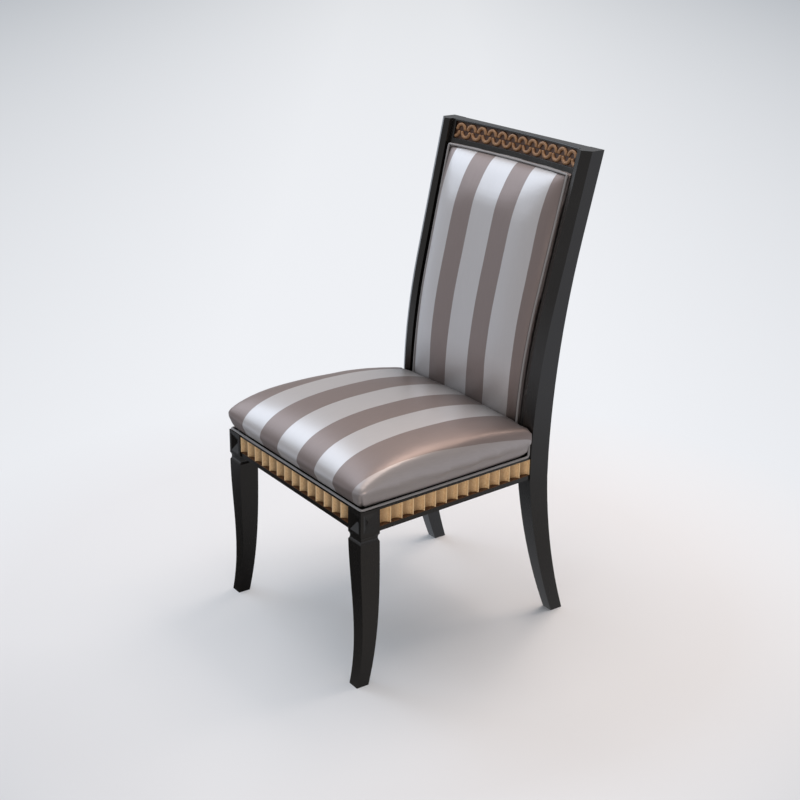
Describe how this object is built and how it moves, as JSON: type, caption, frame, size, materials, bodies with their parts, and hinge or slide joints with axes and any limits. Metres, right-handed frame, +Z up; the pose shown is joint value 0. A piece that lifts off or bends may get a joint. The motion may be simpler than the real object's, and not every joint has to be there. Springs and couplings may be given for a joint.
{
  "type": "upholstered dining chair",
  "caption": "Black lacquered dining side chair on sabre legs, with gilt fluted seat rails, a gilt carved crest, and a striped padded seat and back.",
  "frame": {"origin": "on the floor, at the middle of the chair's bounding box seen from above", "axes": "+Z is up, the sitter faces -Y, +X is to the right seen from the front"},
  "size_m": [0.524, 0.6045, 1.033],
  "materials": {
    "lacquer": "black satin lacquer",
    "gilt": "aged gilding",
    "carving_ground": "dark brown stain",
    "striped_fabric": "striped satin",
    "piping_fabric": "satin covered cord",
    "foam": "open foam",
    "plain_wood": "bare wood",
    "steel": "plain"
  },
  "bodies": {
    "root": {"front_left_leg": "lacquer", "front_right_leg": "lacquer", "rear_left_post": "lacquer", "rear_right_post": "lacquer", "front_seat_rail": "lacquer", "rear_seat_rail": "lacquer", "left_seat_rail": "lacquer", "right_seat_rail": "lacquer", "front_flute_strip": "gilt", "left_flute_strip": "gilt", "right_flute_strip": "gilt", "crest_rail": "lacquer", "crest_ground": "carving_ground", "crest_guilloche": "gilt", "lower_back_rail": "plain_wood", "back_panel": "plain_wood", "back_foam": "foam", "back_cover": "striped_fabric", "back_piping": "piping_fabric", "outside_back_cover": "striped_fabric", "seat_board": "plain_wood", "seat_foam": "foam", "seat_cover": "striped_fabric", "seat_piping": "piping_fabric", "front_left_corner_block": "plain_wood", "front_right_corner_block": "plain_wood", "rear_left_corner_block": "plain_wood", "rear_right_corner_block": "plain_wood", "corner_block_screws": "steel", "seat_screws": "steel", "front_rail_dowels": "plain_wood", "side_rail_front_dowels": "plain_wood", "side_rail_rear_dowels": "plain_wood", "rear_rail_dowels": "plain_wood", "crest_rail_dowels": "plain_wood", "lower_back_rail_dowels": "plain_wood"}
  },
  "joints": []
}
